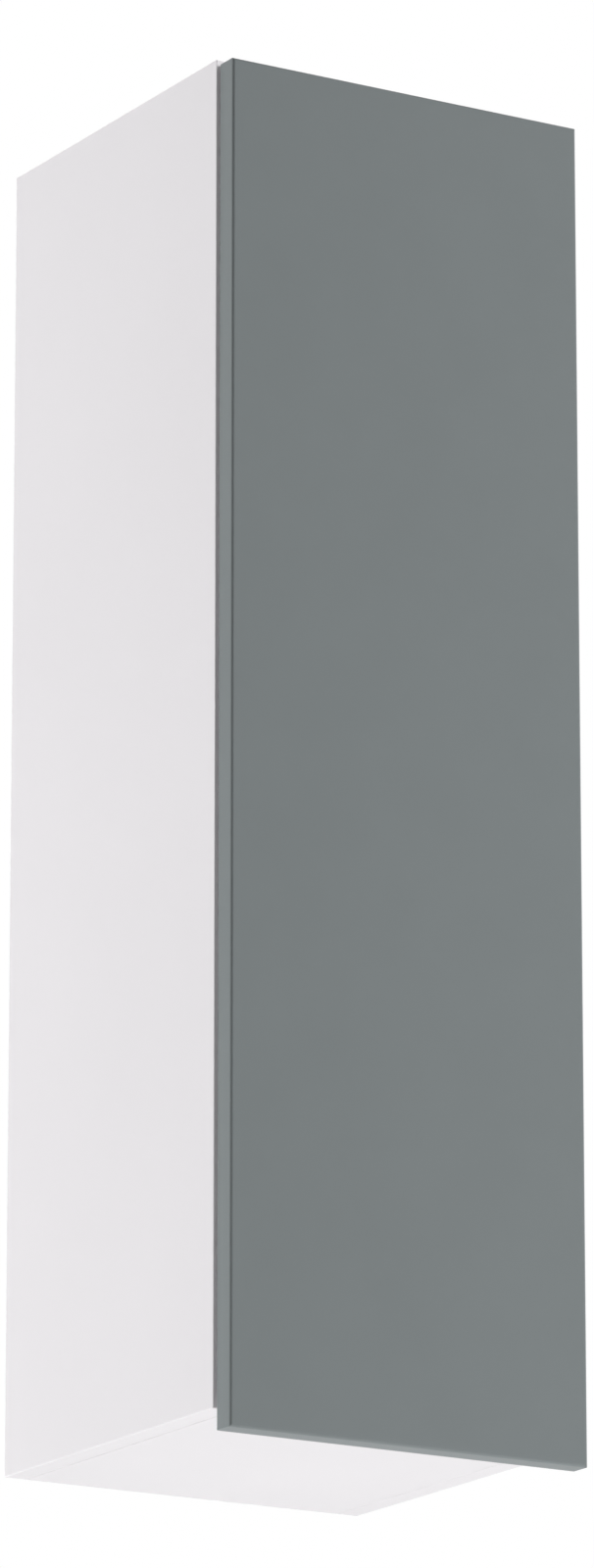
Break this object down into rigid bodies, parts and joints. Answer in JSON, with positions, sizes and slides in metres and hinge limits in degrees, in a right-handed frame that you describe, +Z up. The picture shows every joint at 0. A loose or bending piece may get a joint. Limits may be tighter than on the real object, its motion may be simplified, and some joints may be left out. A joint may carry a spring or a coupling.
{
  "type": "kitchen wall cabinet",
  "caption": "Tall narrow kitchen wall cabinet: white board carcass with shelves, a handle-less grey door on concealed hinges and adjustable wall hangers.",
  "frame": {"origin": "on the wall plane, at the middle of the carcass's width and level with its underside", "axes": "+Z up, +Y into the wall, +X to the right seen from the front; the door faces -Y"},
  "size_m": [0.3, 0.32, 1.016],
  "materials": {
    "white_board": "particle board faced with matt white melamine",
    "white_hardboard": "thin fibre board lacquered white",
    "white_edge_band": "thin white plastic band",
    "peg_steel": "nickel-plated steel",
    "fitting_steel": "zinc-plated steel",
    "fitting_zinc": "die-cast zinc",
    "white_cap": "moulded white plastic",
    "dowel_wood": "beech",
    "door_board": "fibre board",
    "grey_foil": "matt grey foil",
    "clear_bumper": "clear soft plastic",
    "hinge_nickel": "nickel-plated steel",
    "hanger_plastic": "moulded white plastic",
    "hook_steel": "zinc-plated steel"
  },
  "bodies": {
    "carcass": {"side_panel_left": "white_board", "side_panel_right": "white_board", "top_panel": "white_board", "bottom_panel": "white_board", "back_panel": "white_hardboard", "shelf_lower": "white_board", "shelf_upper": "white_board", "side_front_bands": "white_edge_band", "side_under_bands": "white_edge_band", "panel_front_bands": "white_edge_band", "shelf_front_bands": "white_edge_band", "shelf_pegs": "peg_steel", "cam_bolts": "fitting_steel", "cam_housings": "fitting_zinc", "cam_caps": "white_cap", "wood_dowels": "dowel_wood", "hinge_arm_pins": "fitting_steel", "hinge_lower_arm": "hinge_nickel", "hinge_upper_arm": "hinge_nickel", "hinge_lower_plate": "hinge_nickel", "hinge_upper_plate": "hinge_nickel", "hinge_plate_screws": "fitting_steel", "hinge_arm_screws": "fitting_steel", "hanger_right_housing": "hanger_plastic", "hanger_left_housing": "hanger_plastic", "hanger_right_cover": "hanger_plastic", "hanger_left_cover": "hanger_plastic", "hanger_fixing_screws": "fitting_steel"},
    "outer_links": {"hinge_lower_outer_link": "hinge_nickel", "hinge_upper_outer_link": "hinge_nickel"},
    "door": {"door_core": "door_board", "door_foil": "grey_foil", "door_bumpers": "clear_bumper", "hinge_lower_cup": "hinge_nickel", "hinge_upper_cup": "hinge_nickel", "cup_screws": "fitting_steel", "hinge_cup_pins": "fitting_steel"},
    "inner_links": {"hinge_lower_inner_link": "hinge_nickel", "hinge_upper_inner_link": "hinge_nickel"},
    "height_screw_right": {"hanger_right_height_screw": "fitting_steel"},
    "slider_right": {"hanger_right_slider": "fitting_zinc"},
    "depth_screw_right": {"hanger_right_depth_screw": "fitting_steel"},
    "hook_right": {"hanger_right_hook": "hook_steel"},
    "height_screw_left": {"hanger_left_height_screw": "fitting_steel"},
    "slider_left": {"hanger_left_slider": "fitting_zinc"},
    "depth_screw_left": {"hanger_left_depth_screw": "fitting_steel"},
    "hook_left": {"hanger_left_hook": "hook_steel"}
  },
  "joints": [
    {"name": "outer_links_swing", "type": "hinge", "parent": "carcass", "child": "outer_links", "pos_m": [0.102, -0.2977, 0.49], "axis": [0, 0, 1], "range_deg": [-35, 0]},
    {"name": "door_swing", "type": "hinge", "parent": "outer_links", "child": "door", "pos_m": [0.134, -0.3042, 0.49], "axis": [0, 0, 1], "range_deg": [0, 140]},
    {"name": "inner_links_swing", "type": "hinge", "parent": "door", "child": "inner_links", "pos_m": [0.134, -0.3097, 0.49], "axis": [0, 0, 1], "range_deg": [-118.44, 0]},
    {"name": "height_screw_right_spin", "type": "hinge", "parent": "carcass", "child": "height_screw_right", "pos_m": [0.117, -0.0385, 0.945], "axis": [0, 0, 1], "range_deg": [-1441, 1441]},
    {"name": "slider_right_slide", "type": "slide", "parent": "carcass", "child": "slider_right", "axis": [0, 0, 1], "range_m": [-0.008, 0.008]},
    {"name": "depth_screw_right_spin", "type": "hinge", "parent": "slider_right", "child": "depth_screw_right", "pos_m": [0.123, -0.0515, 0.945], "axis": [0, 1, 0], "range_deg": [-1441, 1441]},
    {"name": "hook_right_slide", "type": "slide", "parent": "slider_right", "child": "hook_right", "axis": [0, 1, 0], "range_m": [-0.008, 0.008]},
    {"name": "height_screw_left_spin", "type": "hinge", "parent": "carcass", "child": "height_screw_left", "pos_m": [-0.117, -0.0385, 0.945], "axis": [0, 0, 1], "range_deg": [-1441, 1441]},
    {"name": "slider_left_slide", "type": "slide", "parent": "carcass", "child": "slider_left", "axis": [0, 0, 1], "range_m": [-0.008, 0.008]},
    {"name": "depth_screw_left_spin", "type": "hinge", "parent": "slider_left", "child": "depth_screw_left", "pos_m": [-0.123, -0.0515, 0.945], "axis": [0, 1, 0], "range_deg": [-1441, 1441]},
    {"name": "hook_left_slide", "type": "slide", "parent": "slider_left", "child": "hook_left", "axis": [0, 1, 0], "range_m": [-0.008, 0.008]}
  ],
  "couplings": [
    {"joint": "outer_links_swing", "follows": "door_swing", "ratio": -0.25},
    {"joint": "inner_links_swing", "follows": "door_swing", "ratio": -0.846},
    {"joint": "height_screw_right_spin", "follows": "slider_right_slide", "rad_per_m": 3141.6},
    {"joint": "depth_screw_right_spin", "follows": "hook_right_slide", "rad_per_m": 3141.6},
    {"joint": "height_screw_left_spin", "follows": "slider_left_slide", "rad_per_m": 3141.6},
    {"joint": "depth_screw_left_spin", "follows": "hook_left_slide", "rad_per_m": 3141.6}
  ]
}
